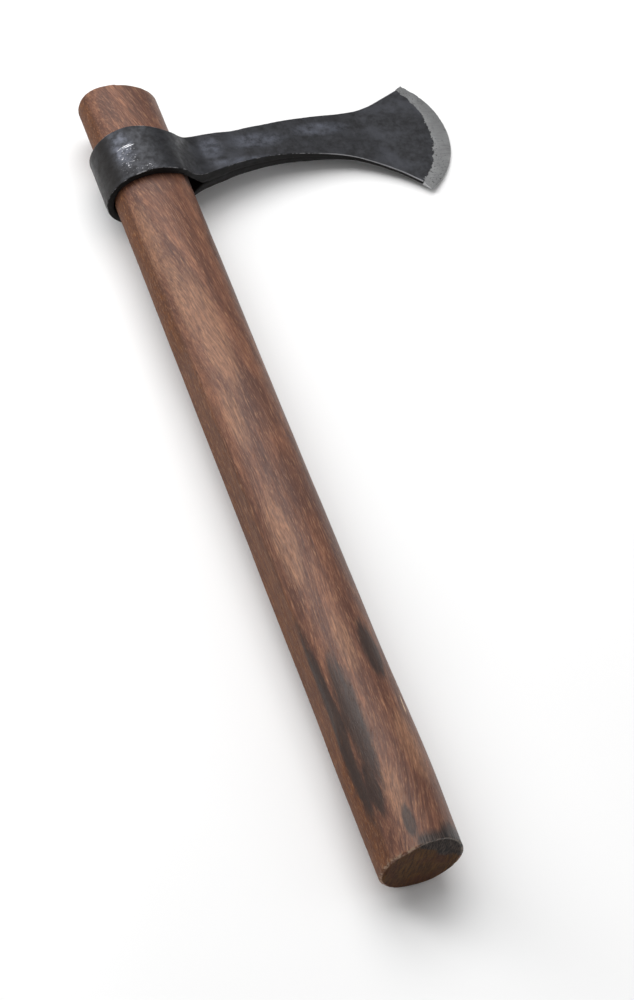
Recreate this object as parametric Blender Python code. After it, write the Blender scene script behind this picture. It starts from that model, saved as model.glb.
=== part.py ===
"""Forged belt axe: a folded iron head wedged on a straight, hand-shaved hardwood haft.

The axe lies on its side: +Z is up, the haft runs along Y with its top end at +Y, and the
blade points to +X, with the middle of its cutting edge resting on the ground. Every part is
drawn in the axe's own frame and hangs from one empty. That frame has X from the haft's axis
towards the cutting edge, Y up the haft, Z out of the upper cheek, and its origin at the
middle of the eye.
"""
import math

import bmesh
import bpy
from mathutils import Matrix, Vector

MM = 0.001
GAP = 0.3 * MM                    # clearance left between touching pieces

# Haft
HAFT_TOP = 39.9 * MM              # where the axis leaves the top end
HAFT_BUTT = -364.9 * MM           # sawn face of the butt
TOP_SLOPE = -0.25                 # the top end is sawn off square by about 14 degrees
TOP_SHEAR_FROM = 16.0 * MM        # the sections start to lean into the sloping cut here
TOP_WEAR = 1.2 * MM               # rounding of the top rim
TOP_WEAR_POLL = 1.2 * MM          # extra rounding of the top rim on the poll side
BUTT_CHAMFER = 1.1 * MM
HAFT_SIDES = 44
HAFT_ROW_PITCH = 15.0 * MM
# Along Y, half width in X, half thickness in Z, squareness, and the centre's place in X and Z
HAFT_SECTIONS = (
    (-365.0, 18.8, 19.5, 2.00, 0.15, -0.8),
    (-325.0, 19.1, 20.4, 2.00, 0.45, -0.8),
    (-260.0, 18.4, 18.8, 2.05, 0.05, -0.4),
    (-150.0, 18.1, 17.3, 2.15, 0.15, 0.0),
    (-30.0, 17.95, 16.1, 2.20, 0.4, 0.0),
    (40.0, 17.95, 16.1, 2.20, 0.4, 0.0),
)
FLAT_OFFSET = 16.5 * MM           # shaved flat on the poll side, from the axis
FLAT_FADE = 21.0 * MM             # offset at which the flat has run out of the wood
FLAT_ENDS = (-338.0 * MM, -62.0 * MM)
FLAT_RUN = 48.0 * MM              # length over which the flat fades at each end
BUTT_FACET_TILT = math.radians(9.0)
BUTT_FACET_ANGLE = math.radians(53.5)
BUTT_FACET_OFFSET = 5.0 * MM

# Head, seen along the haft: half thickness against X
RING_POLL = 21.6 * MM             # outer half width of the eye towards the poll
RING_CHEEK = 21.2 * MM            # outer half thickness of the eye
RING_LEAVES = math.radians(48.0)  # where the cheeks leave the ring, from the Z axis
NECK_START = 30.0 * MM
NECK_HALF = 6.5 * MM
NECK_TAPER = 0.063                # half thickness lost along the neck, per length
BLADE_HALF = 1.15 * MM            # half thickness of the spread blade
BLADE_BLEND = 0.35 * MM           # how softly the neck's taper runs out into the blade
THROAT = 26.0 * MM                # where the eye closes between the cheeks
THROAT_HALF = 0.8 * MM

# Head, seen from the side
EDGE_CENTRE = Vector((116.75, 0.47)) * MM
EDGE_RADIUS = 37.56 * MM
EDGE_HEEL, EDGE_TOE = math.radians(-62.0), math.radians(49.0)
EDGE_HALF = 0.15 * MM
SHOULDER_CENTRE = Vector((105.6, 2.3)) * MM
SHOULDER_RADIUS = 39.84 * MM      # border of the ground bevels
SHOULDER_HEEL, SHOULDER_TOE = math.radians(-50.3), math.radians(36.9)
TOP_LINE = ((127.9, 22.2), (118.5, 18.6), (108.0, 17.0), (90.0, 16.8), (73.5, 15.9), (57.6, 14.2),
            (46.0, 12.8), (34.9, 12.6), (25.9, 11.5), (18.0, 9.3), (10.0, 8.7), (0.0, 10.8),
            (-11.0, 13.3), (-26.0, 13.4))
BOTTOM_LINE = ((-26.0, -13.4), (-8.0, -13.7), (4.0, -14.2), (14.0, -13.6), (22.0, -12.2),
               (30.0, -9.8), (45.0, -6.1), (61.0, -4.0), (76.4, -4.3), (96.0, -7.2),
               (109.4, -12.6), (121.9, -20.5))

# Tongue of the bit, held between the welded ends of the strap
TONGUE_DEPTH = 14.0 * MM
TONGUE_HEEL, TONGUE_TOE = math.radians(-45.0), math.radians(32.0)
TONGUE_ROOT_HALF = 0.45 * MM
TONGUE_TIP_HALF = 0.3 * MM
BIT_ROWS = 25

# Wedges driven into a blind slot in the top end
WOOD_WEDGE_WIDTH = 26.0 * MM
WOOD_WEDGE_TIP = -12.0 * MM
WOOD_WEDGE_HALF = (1.7 * MM, 0.4 * MM)
IRON_WEDGE_WIDTH = 18.0 * MM
IRON_WEDGE_TIP = 14.0 * MM
IRON_WEDGE_HALF = (1.3 * MM, 0.4 * MM)
WEDGE_OVERRUN = 8.0 * MM          # length sawn off flush with the top end

SMOOTH_ANGLE = math.radians(35.0)


def smooth_step(value, low, high):
    """0 below low, 1 above high and an even S between them."""
    share = min(max((value - low) / (high - low), 0.0), 1.0)
    return share * share * (3.0 - 2.0 * share)


def smooth_path(points, steps=4):
    """A Catmull-Rom curve through the points, which are in millimetres."""
    given = [Vector(point) * MM for point in points]
    ends = [2.0 * given[0] - given[1]] + given + [2.0 * given[-1] - given[-2]]
    path = []
    for before, start, end, after in zip(ends, ends[1:], ends[2:], ends[3:]):
        for step in range(steps):
            t = step / steps
            path.append(0.5 * (2.0 * start + (end - before) * t
                               + (2.0 * before - 5.0 * start + 4.0 * end - after) * t ** 2
                               + (3.0 * start - before - 3.0 * end + after) * t ** 3))
    return path + [given[-1]]


def on_arc(centre, radius, angle):
    return centre + radius * Vector((math.cos(angle), math.sin(angle)))


def superellipse(half_width, half_height, power, angle):
    across, up = math.cos(angle), math.sin(angle)
    return Vector((math.copysign(half_width * abs(across) ** (2.0 / power), across),
                   math.copysign(half_height * abs(up) ** (2.0 / power), up)))


def material(name, colour, metallic, roughness):
    made = bpy.data.materials.new(name)
    made.use_nodes = True
    shader = made.node_tree.nodes["Principled BSDF"]
    shader.inputs["Base Color"].default_value = (*colour, 1.0)
    shader.inputs["Metallic"].default_value = metallic
    shader.inputs["Roughness"].default_value = roughness
    made.diffuse_color = (*colour, 1.0)
    return made


def mesh_object(name, form, collection, frame):
    """A smooth-shaded object of the bmesh, hung from the axe's frame."""
    bmesh.ops.recalc_face_normals(form, faces=form.faces)
    mesh = bpy.data.meshes.new(name)
    form.to_mesh(mesh)
    form.free()
    mesh.shade_smooth()
    mesh.set_sharp_from_angle(angle=SMOOTH_ANGLE)
    made = bpy.data.objects.new(name, mesh)
    collection.objects.link(made)
    made.parent = frame
    return made


def outline_solid(name, outline, half_depth, turn, collection, frame):
    """A flat outline given a thickness: a filled 2D curve, turned and made a mesh."""
    curve = bpy.data.curves.new(name, "CURVE")
    curve.dimensions = "2D"
    curve.fill_mode = "BOTH"
    curve.extrude = half_depth
    spline = curve.splines.new("POLY")
    spline.points.add(len(outline) - 1)
    for point, place in zip(spline.points, outline):
        point.co = (place[0], place[1], 0.0, 1.0)
    spline.use_cyclic_u = True
    drawn = bpy.data.objects.new(name + "_outline", curve)
    collection.objects.link(drawn)
    bpy.context.view_layer.update()
    mesh = bpy.data.meshes.new_from_object(drawn.evaluated_get(bpy.context.evaluated_depsgraph_get()))
    form = bmesh.new()
    form.from_mesh(mesh)
    bmesh.ops.remove_doubles(form, verts=form.verts, dist=0.001 * MM)
    bmesh.ops.transform(form, matrix=turn, verts=form.verts)
    bpy.data.objects.remove(drawn)
    bpy.data.curves.remove(curve)
    bpy.data.meshes.remove(mesh)
    return mesh_object(name, form, collection, frame)


def loft(name, rows, collection, frame, cap_pairs=False):
    """Quads between rows of the same count, closed at both ends.

    A cap is one flat face, or with cap_pairs a strip that joins the first half of the row
    to its second half, for a row that is folded about its middle.
    """
    form = bmesh.new()
    rings = [[form.verts.new(point) for point in row] for row in rows]
    count = len(rings[0])
    for lower, upper in zip(rings, rings[1:]):
        for index in range(count):
            after = (index + 1) % count
            form.faces.new((lower[index], lower[after], upper[after], upper[index]))
    for ring in (rings[0], rings[-1]):
        if cap_pairs:
            for index in range(count // 2 - 1):
                form.faces.new((ring[index], ring[index + 1], ring[-2 - index], ring[-1 - index]))
        else:
            form.faces.new(ring)
    return mesh_object(name, form, collection, frame)


def as_cutter(made):
    made.hide_render = True
    made.display_type = "WIRE"
    return made


def boolean(target, cutter, operation="DIFFERENCE"):
    step = target.modifiers.new(cutter.name, "BOOLEAN")
    step.operation = operation
    step.solver = "EXACT"
    step.object = cutter


def haft_measures(y):
    """Half width, half thickness, squareness and centre of the haft at a place along it."""
    sections = HAFT_SECTIONS
    for low, high in zip(sections, sections[1:]):
        if y <= high[0] * MM or high is sections[-1]:
            share = smooth_step(y, low[0] * MM, high[0] * MM)
            width, thick, power, x, z = (a + (b - a) * share for a, b in zip(low[1:], high[1:]))
            return width * MM, thick * MM, power, Vector((x, z)) * MM


def haft_row(y, setback=0.0, inset=0.0):
    """One ring of the haft, leaning into the sloping cut near the top end.

    setback and inset, shares of the rim's wear, move the ring down the haft and inwards.
    """
    width, thick, power, centre = haft_measures(y)
    there = smooth_step(y, FLAT_ENDS[0], FLAT_ENDS[0] + FLAT_RUN)
    there *= 1.0 - smooth_step(y, FLAT_ENDS[1] - FLAT_RUN, FLAT_ENDS[1])
    flat = FLAT_FADE + (FLAT_OFFSET - FLAT_FADE) * there
    lean = TOP_SLOPE * smooth_step(y, TOP_SHEAR_FROM, HAFT_TOP)
    row = []
    for side in range(HAFT_SIDES):
        place = superellipse(width, thick, power, math.tau * side / HAFT_SIDES)
        place.x = max(place.x, -flat)
        worn = TOP_WEAR + TOP_WEAR_POLL * max(-place.x / width, 0.0) ** 2
        place *= 1.0 - inset * worn / place.length
        place += centre
        row.append(Vector((place.x, y + lean * place.x - setback * worn, place.y)))
    return row


def make_haft(collection, cutters, frame):
    """The haft: shaved oval sections, a worn top rim, a chamfered butt and the wedge slots."""
    inner_butt = HAFT_BUTT + BUTT_CHAMFER
    count = math.ceil((TOP_SHEAR_FROM - inner_butt) / HAFT_ROW_PITCH)
    rows = [haft_row(inner_butt + (TOP_SHEAR_FROM - inner_butt) * row / count)
            for row in range(count + 1)]
    chamfered = [Vector((p.x, HAFT_BUTT, p.z)) - BUTT_CHAMFER * Vector((p.x, 0.0, p.z)).normalized()
                 for p in rows[0]]
    rows.insert(0, chamfered)
    lean_rows = 3
    for row in range(1, lean_rows):
        rows.append(haft_row(TOP_SHEAR_FROM + (HAFT_TOP - TOP_SHEAR_FROM) * row / lean_rows))
    for turn in (0.0, 45.0, 90.0):
        angle = math.radians(turn)
        rows.append(haft_row(HAFT_TOP, setback=1.0 - math.sin(angle), inset=1.0 - math.cos(angle)))
    haft = loft("haft", rows, collection, frame)

    across = Vector((math.cos(BUTT_FACET_ANGLE), 0.0, math.sin(BUTT_FACET_ANGLE)))
    outward = across * math.sin(BUTT_FACET_TILT) + Vector((0.0, -math.cos(BUTT_FACET_TILT), 0.0))
    size = 60.0 * MM
    form = bmesh.new()
    bmesh.ops.create_cube(form, size=size)
    facet = as_cutter(mesh_object("butt_facet_cut", form, cutters, frame))
    facet.rotation_mode = "QUATERNION"
    facet.rotation_quaternion = outward.to_track_quat("Z", "Y")
    on_face = across * BUTT_FACET_OFFSET + Vector((0.0, HAFT_BUTT, 0.0))
    facet.location = on_face + outward * size / 2.0
    boolean(haft, facet)
    return haft


def eye_outline():
    """The haft's section at the eye with its clearance, drawn out to the throat."""
    width, thick, power, centre = haft_measures(0.0)
    turns = [math.pi * step / (HAFT_SIDES // 2) for step in range(HAFT_SIDES // 2 + 1)]
    upper = [superellipse(width + GAP, thick + GAP, power, turn) + centre for turn in turns]
    tip = Vector((THROAT, THROAT_HALF))
    touch = max(range(len(upper)), key=lambda i: (upper[i] - tip).y / (tip - upper[i]).x)
    half = [tip] + upper[touch:]
    return half + [Vector((p.x, -p.y)) for p in reversed(half[:-1])]


def cheek_outline():
    """The head's outline along the haft: round at the poll, then the tapering neck and blade."""
    steps = 22
    poll_turn = math.pi / 2.0 + RING_LEAVES
    half = []
    for step in range(steps + 1):
        turn = -math.pi / 2.0 + poll_turn * step / steps
        half.append(Vector((RING_POLL * math.sin(turn), RING_CHEEK * math.cos(turn))))
    leave, slope = half[-1], -RING_CHEEK / RING_POLL * math.tan(RING_LEAVES)
    end = Vector((NECK_START, NECK_HALF))
    run = end.x - leave.x
    for step in range(1, 8):
        t = step / 7.0
        height = ((2 * t ** 3 - 3 * t ** 2 + 1) * leave.y + (t ** 3 - 2 * t ** 2 + t) * run * slope
                  + (3 * t ** 2 - 2 * t ** 3) * end.y - (t ** 3 - t ** 2) * run * NECK_TAPER)
        half.append(Vector((leave.x + run * t, height)))
    reach = EDGE_CENTRE.x + EDGE_RADIUS
    half += [Vector((x, blade_half(x)))
             for x in (NECK_START + (reach - NECK_START) * step / 14 for step in range(1, 15))]
    return half + [Vector((p.x, -p.y)) for p in reversed(half[1:])]


def blade_half(x):
    """Half thickness of the neck and blade at a distance from the haft's axis."""
    spare = NECK_HALF - NECK_TAPER * (x - NECK_START) - BLADE_HALF
    return BLADE_HALF + BLADE_BLEND * math.log1p(math.exp(spare / BLADE_BLEND))


def side_outline():
    """The strap seen from the side: ring, neck and flare as far as the bevels' border."""
    steps = 18
    arc = [on_arc(SHOULDER_CENTRE, SHOULDER_RADIUS,
                  SHOULDER_HEEL + (SHOULDER_TOE - SHOULDER_HEEL) * step / steps)
           for step in range(steps + 1)]
    heel, toe = arc[0] / MM, arc[-1] / MM
    bottom = smooth_path(BOTTOM_LINE + (tuple(heel),))
    top = smooth_path((tuple(toe),) + TOP_LINE)
    return bottom[:-1] + arc + top[1:]


def make_head_strap(collection, cutters, frame):
    """The strap: folded round the eye, its ends welded into the neck and drawn out."""
    upright = Matrix.Rotation(math.radians(90.0), 4, "X")
    level = Matrix.Identity(4)
    tall, deep = 60.0 * MM, 30.0 * MM
    strap = outline_solid("head_strap", cheek_outline(), tall, upright, collection, frame)
    side = as_cutter(outline_solid("side_profile", side_outline(), deep, level, cutters, frame))
    eye = as_cutter(outline_solid("eye_cut", eye_outline(), tall, upright, cutters, frame))
    boolean(strap, side, "INTERSECT")
    boolean(strap, eye)
    boolean(strap, make_pocket(cutters, frame))
    return strap


def bit_angles():
    """Matching angles of tongue, shoulder and edge for each row of the bit, heel to toe."""
    for row in range(BIT_ROWS):
        share = row / (BIT_ROWS - 1)
        yield (TONGUE_HEEL + (TONGUE_TOE - TONGUE_HEEL) * share,
               SHOULDER_HEEL + (SHOULDER_TOE - SHOULDER_HEEL) * share,
               EDGE_HEEL + (EDGE_TOE - EDGE_HEEL) * share)


def folded(half_row):
    """A row of (place, half thickness) points, followed by its mirror image below Z = 0."""
    upper = [Vector((place.x, place.y, half)) for place, half in half_row]
    return upper + [Vector((p.x, p.y, -p.z)) for p in reversed(upper)]


def make_steel_bit(collection, frame):
    """The steel: a tongue, the shoulder that meets the strap, and the two ground bevels."""
    shoulder_radius = SHOULDER_RADIUS + GAP
    rows = []
    for tongue, shoulder, edge in bit_angles():
        border = on_arc(SHOULDER_CENTRE, shoulder_radius, shoulder)
        rows.append(folded((
            (on_arc(SHOULDER_CENTRE, SHOULDER_RADIUS - TONGUE_DEPTH, tongue), TONGUE_TIP_HALF),
            (on_arc(SHOULDER_CENTRE, shoulder_radius, tongue), TONGUE_ROOT_HALF),
            (border, blade_half(border.x)),
            (on_arc(EDGE_CENTRE, EDGE_RADIUS, edge), EDGE_HALF))))
    return loft("steel_bit", rows, collection, frame, cap_pairs=True)


def make_pocket(cutters, frame):
    """The space between the strap's ends that holds the bit's tongue with its clearance."""
    past = 3.0 * MM
    side_clearance = 2.0 * GAP / (SHOULDER_RADIUS - TONGUE_DEPTH)
    angles = [angle for angle, _, _ in bit_angles()]
    angles = [angles[0] - side_clearance] + angles[1:-1] + [angles[-1] + side_clearance]
    rows = [folded((
        (on_arc(SHOULDER_CENTRE, SHOULDER_RADIUS - TONGUE_DEPTH - GAP, angle), TONGUE_TIP_HALF + GAP),
        (on_arc(SHOULDER_CENTRE, SHOULDER_RADIUS + past, angle), TONGUE_ROOT_HALF + GAP)))
        for angle in angles]
    return as_cutter(loft("tongue_pocket", rows, cutters, frame, cap_pairs=True))


def wedge_solid(name, width, tip, halves, clearance, turn, collection, frame):
    """A wedge that tapers down the haft from above the top end to its tip."""
    top = HAFT_TOP + WEDGE_OVERRUN
    head, point = halves[0] + clearance, halves[1] + clearance
    low = tip - clearance
    outline = ((-head, top), (-point, low), (point, low), (head, top))
    return outline_solid(name, outline, width / 2.0 + clearance, turn, collection, frame)


def make_wedges(haft, collection, cutters, frame):
    """A wooden wedge that spreads the haft in the eye, and an iron one driven across it."""
    flat_in_z = Matrix.Rotation(math.radians(90.0), 4, "Y")
    wood = (WOOD_WEDGE_WIDTH, WOOD_WEDGE_TIP, WOOD_WEDGE_HALF)
    iron = (IRON_WEDGE_WIDTH, IRON_WEDGE_TIP, IRON_WEDGE_HALF)
    flat_in_x = Matrix.Identity(4)
    wood_wedge = wedge_solid("wood_wedge", *wood, 0.0, flat_in_z, collection, frame)
    iron_wedge = wedge_solid("iron_cross_wedge", *iron, 0.0, flat_in_x, collection, frame)
    wood_slot = as_cutter(wedge_solid("wood_wedge_slot", *wood, GAP, flat_in_z, cutters, frame))
    iron_slot = as_cutter(wedge_solid("iron_wedge_slot", *iron, GAP, flat_in_x, cutters, frame))
    boolean(haft, wood_slot)
    boolean(haft, iron_slot)
    boolean(wood_wedge, iron_slot)

    size = 80.0 * MM
    form = bmesh.new()
    bmesh.ops.create_cube(form, size=size)
    saw = as_cutter(mesh_object("flush_saw_cut", form, cutters, frame))
    saw.rotation_euler.z = math.atan(TOP_SLOPE)
    outward = Vector((-math.sin(saw.rotation_euler.z), math.cos(saw.rotation_euler.z), 0.0))
    saw.location = Vector((0.0, HAFT_TOP - GAP, 0.0)) + outward * size / 2.0
    boolean(wood_wedge, saw)
    boolean(iron_wedge, saw)
    return wood_wedge, iron_wedge


def lay_down(parts, frame):
    """Tip the axe about its haft until ring and edge both rest on the ground, origin below."""
    frame.rotation_euler.y = math.asin(RING_CHEEK / (EDGE_CENTRE.x + EDGE_RADIUS))
    bpy.context.view_layer.update()
    graph = bpy.context.evaluated_depsgraph_get()
    places = []
    for part in parts:
        evaluated = part.evaluated_get(graph)
        places += [evaluated.matrix_world @ vertex.co for vertex in evaluated.data.vertices]
    low = [min(place[axis] for place in places) for axis in range(3)]
    high = [max(place[axis] for place in places) for axis in range(3)]
    frame.location = (-(low[0] + high[0]) / 2.0, -(low[1] + high[1]) / 2.0, -low[2])


def main():
    for stale in list(bpy.data.objects):
        bpy.data.objects.remove(stale)
    collection = bpy.data.collections.new("forged_belt_axe")
    cutters = bpy.data.collections.new("cutters")
    for group in (collection, cutters):
        bpy.context.scene.collection.children.link(group)
    frame = bpy.data.objects.new("axe_frame", None)
    collection.objects.link(frame)

    haft = make_haft(collection, cutters, frame)
    strap = make_head_strap(collection, cutters, frame)
    bit = make_steel_bit(collection, frame)
    wood_wedge, iron_wedge = make_wedges(haft, collection, cutters, frame)
    for part, look in (
        (haft, material("haft_hardwood", (0.16, 0.055, 0.025), 0.0, 0.45)),
        (strap, material("forged_iron", (0.055, 0.06, 0.065), 0.9, 0.5)),
        (bit, material("ground_steel", (0.55, 0.56, 0.57), 1.0, 0.3)),
        (wood_wedge, material("wedge_wood", (0.42, 0.27, 0.14), 0.0, 0.6)),
        (iron_wedge, material("wedge_iron", (0.10, 0.10, 0.10), 0.9, 0.5)),
    ):
        part.data.materials.append(look)
    lay_down((haft, strap, bit, wood_wedge, iron_wedge), frame)


main()
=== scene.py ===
import math

import bmesh
import bpy
import numpy as np
from mathutils import Matrix, Vector


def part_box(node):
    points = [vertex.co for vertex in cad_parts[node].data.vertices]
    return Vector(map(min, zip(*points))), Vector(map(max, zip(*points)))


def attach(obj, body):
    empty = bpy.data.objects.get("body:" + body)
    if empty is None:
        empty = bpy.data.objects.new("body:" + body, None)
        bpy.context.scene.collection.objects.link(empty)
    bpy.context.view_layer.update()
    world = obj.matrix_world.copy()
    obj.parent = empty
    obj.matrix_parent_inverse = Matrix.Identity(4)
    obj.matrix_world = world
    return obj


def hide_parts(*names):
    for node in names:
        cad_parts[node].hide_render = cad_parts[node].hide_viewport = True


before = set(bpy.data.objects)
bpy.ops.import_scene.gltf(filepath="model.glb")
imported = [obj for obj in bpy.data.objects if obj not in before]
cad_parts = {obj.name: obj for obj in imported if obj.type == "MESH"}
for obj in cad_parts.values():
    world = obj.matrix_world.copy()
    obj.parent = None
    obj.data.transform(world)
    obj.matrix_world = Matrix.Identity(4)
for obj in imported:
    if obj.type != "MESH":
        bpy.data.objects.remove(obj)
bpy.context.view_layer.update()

MM = 0.001

# The axe's driving sizes, as the CAD has them
HAFT_TOP = 39.9 * MM
HAFT_BUTT = -364.9 * MM
TOP_SLOPE = -0.25
TOP_SHEAR_FROM = 16.0 * MM
TOP_WEAR = 1.2 * MM
TOP_WEAR_POLL = 1.2 * MM
BUTT_CHAMFER = 1.1 * MM
# Along Y, half width in X, half thickness in Z, squareness, and the centre's place in X and Z
HAFT_SECTIONS = np.array((
    (-365.0, 18.8, 19.5, 2.00, 0.15, -0.8),
    (-325.0, 19.1, 20.4, 2.00, 0.45, -0.8),
    (-260.0, 18.4, 18.8, 2.05, 0.05, -0.4),
    (-150.0, 18.1, 17.3, 2.15, 0.15, 0.0),
    (-30.0, 17.95, 16.1, 2.20, 0.4, 0.0),
    (40.0, 17.95, 16.1, 2.20, 0.4, 0.0),
))
FLAT_OFFSET = 16.5 * MM
FLAT_FADE = 21.0 * MM
FLAT_ENDS = (-338.0 * MM, -62.0 * MM)
FLAT_RUN = 48.0 * MM
BUTT_FACET_TILT = math.radians(9.0)
BUTT_FACET_ANGLE = math.radians(53.5)
BUTT_FACET_OFFSET = 5.0 * MM
RING_POLL = 21.6 * MM
RING_CHEEK = 21.2 * MM
RING_LEAVES = math.radians(48.0)
NECK_START = 30.0 * MM
NECK_HALF = 6.5 * MM
NECK_TAPER = 0.063
BLADE_HALF = 1.15 * MM
BLADE_BLEND = 0.35 * MM
THROAT = 26.0 * MM
EDGE_CENTRE = np.array((116.75, 0.47)) * MM
EDGE_RADIUS = 37.56 * MM
EDGE_HEEL, EDGE_TOE = math.radians(-62.0), math.radians(49.0)
SHOULDER_CENTRE = np.array((105.6, 2.3)) * MM
SHOULDER_RADIUS = 39.84 * MM
SHOULDER_HEEL, SHOULDER_TOE = math.radians(-50.3), math.radians(36.9)
TOP_LINE = ((127.9, 22.2), (118.5, 18.6), (108.0, 17.0), (90.0, 16.8), (73.5, 15.9), (57.6, 14.2),
            (46.0, 12.8), (34.9, 12.6), (25.9, 11.5), (18.0, 9.3), (10.0, 8.7), (0.0, 10.8),
            (-11.0, 13.3), (-26.0, 13.4))
BOTTOM_LINE = ((-26.0, -13.4), (-8.0, -13.7), (4.0, -14.2), (14.0, -13.6), (22.0, -12.2),
               (30.0, -9.8), (45.0, -6.1), (61.0, -4.0), (76.4, -4.3), (96.0, -7.2),
               (109.4, -12.6), (121.9, -20.5))
TONGUE_DEPTH = 14.0 * MM
TONGUE_HEEL, TONGUE_TOE = math.radians(-45.0), math.radians(32.0)
TONGUE_HALF = 0.4 * MM
FIT_GAP = 0.3 * MM

# The camera, in the axe's frame: a long lens from above the butt, 1.6 m away
CAMERA_AT = Vector((-547.1, -888.9, 1228.9)) * MM
CAMERA_RIGHT = Vector((0.91347, -0.33718, 0.22775))
CAMERA_UP = Vector((0.16689, 0.82094, 0.54608))
LENS_MM = 126.0
SENSOR_MM = 36.0


# ---- placing ----

def axe_placement():
    """The axe's frame in the world, from the CAD's boxes and the droop that it lies at."""
    droop = math.asin(RING_CHEEK / (EDGE_CENTRE[0] + EDGE_RADIUS))
    strap_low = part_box("head_strap")[0]
    haft_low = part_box("haft")[0]
    across = math.hypot(RING_POLL * math.cos(droop), RING_CHEEK * math.sin(droop))
    height = math.hypot(RING_POLL * math.sin(droop), RING_CHEEK * math.cos(droop))
    at = Vector((strap_low[0] + across, haft_low[1] - HAFT_BUTT, strap_low[2] + height))
    return Matrix.Translation(at) @ Matrix.Rotation(droop, 4, "Y")


AXE = axe_placement()


def in_world(points):
    """Points of the axe's frame, as world coordinates."""
    turn = np.array(AXE.to_3x3())
    return np.asarray(points, dtype=float) @ turn.T + np.array(AXE.translation)


# ---- noise and curves ----

def lattice(i, j, k, seed):
    """A repeatable value from 0 to 1 for each whole-numbered point."""
    mixed = (i * 73856093) ^ (j * 19349663) ^ (k * 83492791) ^ (seed * 2654435761)
    mixed = (mixed ^ (mixed >> 13)) * 1274126177
    mixed = mixed ^ (mixed >> 16)
    return (mixed & 0xFFFFF) / float(0xFFFFF)


def noise(points, size, seed):
    """Smooth value noise from -1 to 1; size is the grain along X, Y and Z in metres."""
    scaled = points / np.asarray(size)
    cell = np.floor(scaled).astype(np.int64)
    share = scaled - cell
    share = share * share * (3.0 - 2.0 * share)
    total = np.zeros(len(points))
    for corner in range(8):
        step = np.array(((corner & 1), (corner >> 1) & 1, (corner >> 2) & 1))
        weight = np.prod(np.where(step, share, 1.0 - share), axis=1)
        at = cell + step
        total += weight * lattice(at[:, 0], at[:, 1], at[:, 2], seed)
    return 2.0 * total - 1.0


def smooth_step(value, low, high):
    share = np.clip((value - low) / (high - low), 0.0, 1.0)
    return share * share * (3.0 - 2.0 * share)


def soft_floor(value, floor, softness):
    """value, but never below floor, with a rounded corner between the two."""
    return floor + softness * np.logaddexp(0.0, (value - floor) / softness)


def smooth_path(points, steps=12):
    """A Catmull-Rom curve through the points, which are in millimetres."""
    given = np.array(points) * MM
    ends = np.vstack((2.0 * given[0] - given[1], given, 2.0 * given[-1] - given[-2]))
    path = []
    for before, start, end, after in zip(ends, ends[1:], ends[2:], ends[3:]):
        for step in range(steps):
            t = step / steps
            path.append(0.5 * (2.0 * start + (end - before) * t
                               + (2.0 * before - 5.0 * start + 4.0 * end - after) * t ** 2
                               + (3.0 * start - before - 3.0 * end + after) * t ** 3))
    path.append(given[-1])
    return np.array(path)


def on_arc(centre, radius, angle):
    angle = np.asarray(angle)
    return centre + radius * np.stack((np.cos(angle), np.sin(angle)), axis=-1)


def superellipse(half_width, half_height, power, angle):
    across, up = np.cos(angle), np.sin(angle)
    return (np.sign(across) * half_width * np.abs(across) ** (2.0 / power),
            np.sign(up) * half_height * np.abs(up) ** (2.0 / power))


# ---- meshes ----

def piece(name, points, faces, sharp_angle=50.0, **attributes):
    """A smooth-shaded piece from points in the axe's frame, with per-point attributes."""
    mesh = bpy.data.meshes.new(name)
    mesh.from_pydata(in_world(points).tolist(), [], faces)
    for key, values in attributes.items():
        layer = mesh.attributes.new(key, "FLOAT", "POINT")
        layer.data.foreach_set("value", np.asarray(values, dtype=np.float32))
    form = bmesh.new()
    form.from_mesh(mesh)
    bmesh.ops.recalc_face_normals(form, faces=form.faces)
    form.to_mesh(mesh)
    form.free()
    mesh.shade_smooth()
    mesh.set_sharp_from_angle(angle=math.radians(sharp_angle))
    made = bpy.data.objects.new(name, mesh)
    bpy.context.scene.collection.objects.link(made)
    return made


def tube_faces(rows, count, close_ends=True):
    """Quads of a grid that is closed round its rows, with a cap at each end."""
    index = np.arange(rows * count).reshape(rows, count)
    after = np.roll(index, -1, axis=1)
    quads = np.stack((index[:-1], after[:-1], after[1:], index[1:]), axis=-1).reshape(-1, 4)
    faces = quads.tolist()
    if close_ends:
        faces.append(index[0].tolist())
        faces.append(index[-1][::-1].tolist())
    return faces


def pushed_out(points, faces, amount):
    """The points moved along their normals by amount, one number for each."""
    mesh = bpy.data.meshes.new("normals")
    mesh.from_pydata(points.tolist(), [], faces)
    form = bmesh.new()
    form.from_mesh(mesh)
    bmesh.ops.recalc_face_normals(form, faces=form.faces)
    form.to_mesh(mesh)
    form.free()
    normals = np.empty(len(points) * 3)
    mesh.vertex_normals.foreach_get("vector", normals)
    bpy.data.meshes.remove(mesh)
    return points + normals.reshape(-1, 3) * amount[:, None]


# ---- the haft ----

HAFT_SIDES = 208
HAFT_ROWS = 620
RIM_ROWS = 7
CAP_RINGS = 36


def haft_measures(y):
    """Half width, half thickness, squareness and centre of the haft at places along it."""
    measures = []
    spots = HAFT_SECTIONS[:, 0] * MM
    low = np.clip(np.searchsorted(spots, y) - 1, 0, len(spots) - 2)
    share = smooth_step(y, spots[low], spots[low + 1])
    for column in range(1, 6):
        values = HAFT_SECTIONS[:, column]
        measures.append(values[low] + (values[low + 1] - values[low]) * share)
    width, thick, power, x, z = measures
    return width * MM, thick * MM, power, x * MM, z * MM


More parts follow.
